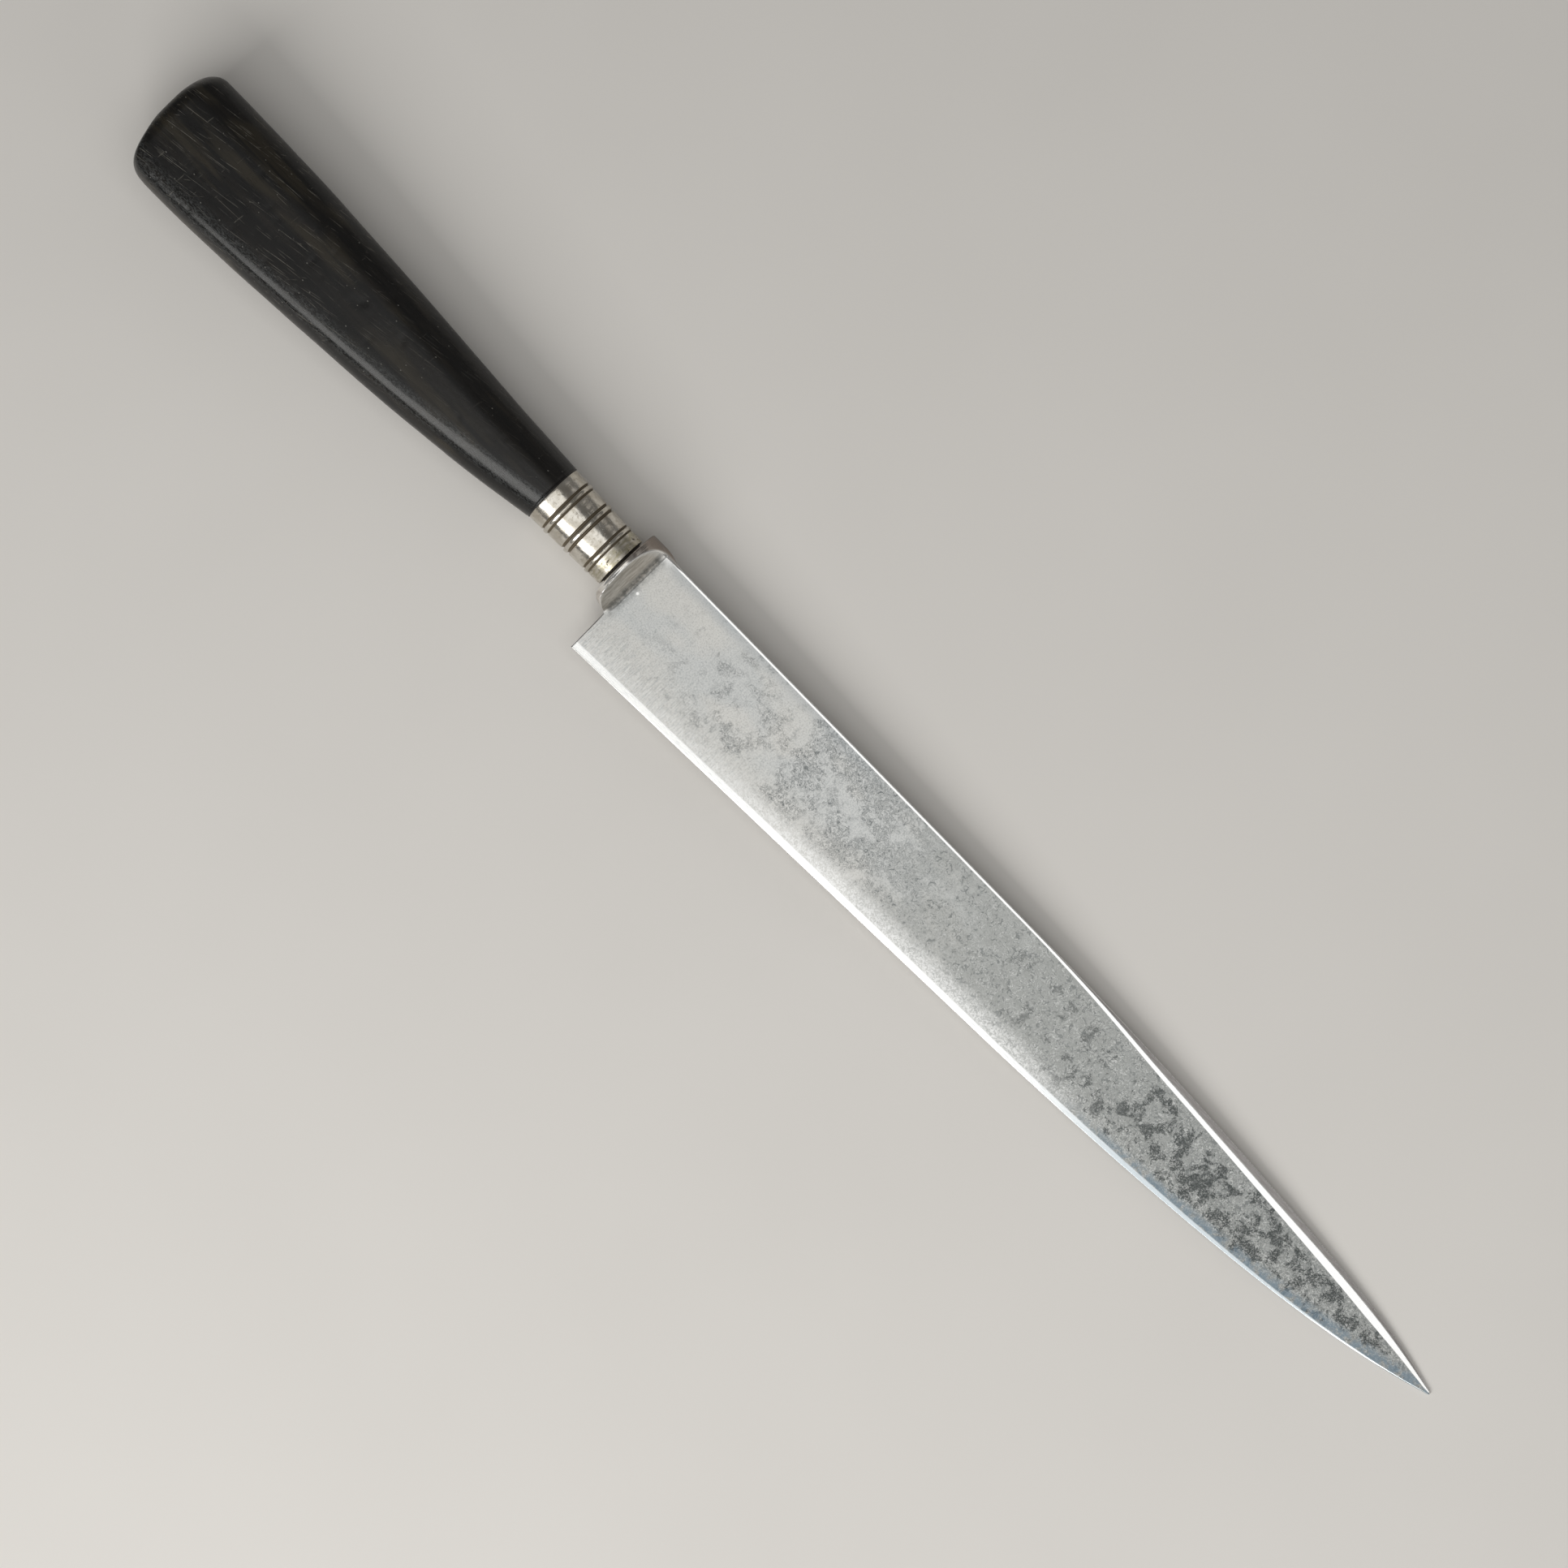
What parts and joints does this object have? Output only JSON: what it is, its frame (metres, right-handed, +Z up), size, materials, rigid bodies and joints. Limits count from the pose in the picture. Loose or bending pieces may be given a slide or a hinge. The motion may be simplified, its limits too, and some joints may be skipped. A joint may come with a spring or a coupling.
{
  "type": "slicing knife",
  "caption": "Long pointed slicing knife: forged blade with an oval bolster, beaded metal ferrule and a dark wooden handle that swells and squares towards its butt.",
  "frame": {"origin": "under the middle of the knife's bounding box, level with its lowest point, the knife lying on its side", "axes": "+X towards the tip, +Y towards the back of the blade, +Z up, through the blade's thickness"},
  "size_m": [0.356, 0.0296, 0.017],
  "materials": {
    "blade_steel": "satin carbon steel, stained darker towards the tip",
    "ferrule_metal": "nickel silver, worn bright with dark grooves",
    "handle_wood": "ebony, rubbed smooth, finely scratched",
    "cement": "dark cutler's pitch",
    "washer_metal": "nickel silver, dull"
  },
  "bodies": {
    "root": {"blade": "blade_steel", "ferrule": "ferrule_metal", "handle": "handle_wood", "tang_cement": "cement", "butt_washer": "washer_metal"}
  },
  "joints": []
}
